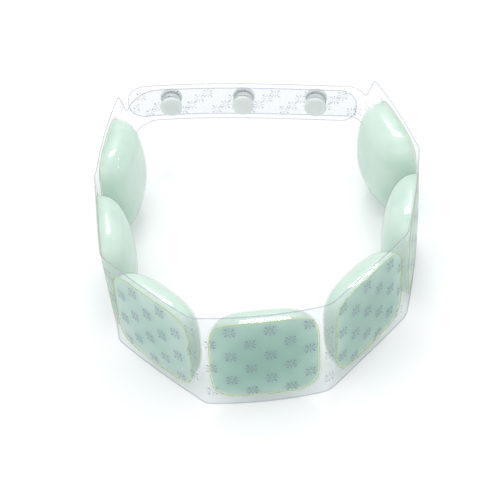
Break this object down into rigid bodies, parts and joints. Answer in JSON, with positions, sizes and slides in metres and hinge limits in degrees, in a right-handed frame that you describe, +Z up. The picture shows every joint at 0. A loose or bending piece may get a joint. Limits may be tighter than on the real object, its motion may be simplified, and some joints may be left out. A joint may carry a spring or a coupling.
{
  "type": "cooling neck ring",
  "caption": "Cooling neck ring: a clear film band with plump mint gel pillows all round, closed by a two-layer strap with press snaps.",
  "frame": {"origin": "middle of the footprint, at the level of the lower edge", "axes": "+Z up, -Y towards the front panel, +Y towards the strap at the back, +X to the right seen from the front"},
  "size_m": [0.1676, 0.2108, 0.0574],
  "materials": {
    "tpu_film": "glossy clear film",
    "formed_skin": "glossy clear film, thermoformed",
    "mint_gel": "milky translucent gel",
    "milky_acetal": "satin moulded plastic"
  },
  "bodies": {
    "root": {"film_band": "tpu_film", "pillow_skin_1": "formed_skin", "pillow_skin_2": "formed_skin", "pillow_skin_3": "formed_skin", "pillow_skin_4": "formed_skin", "pillow_skin_5": "formed_skin", "pillow_skin_6": "formed_skin", "pillow_skin_7": "formed_skin", "gel_fill_1": "mint_gel", "gel_fill_2": "mint_gel", "gel_fill_3": "mint_gel", "gel_fill_4": "mint_gel", "gel_fill_5": "mint_gel", "gel_fill_6": "mint_gel", "gel_fill_7": "mint_gel", "snap_inner_cap_1": "milky_acetal", "snap_inner_cap_2": "milky_acetal", "snap_inner_cap_3": "milky_acetal", "snap_socket_1": "milky_acetal", "snap_socket_2": "milky_acetal", "snap_socket_3": "milky_acetal", "snap_stud_1": "milky_acetal", "snap_stud_2": "milky_acetal", "snap_stud_3": "milky_acetal", "snap_outer_cap_1": "milky_acetal", "snap_outer_cap_2": "milky_acetal", "snap_outer_cap_3": "milky_acetal"}
  },
  "joints": []
}
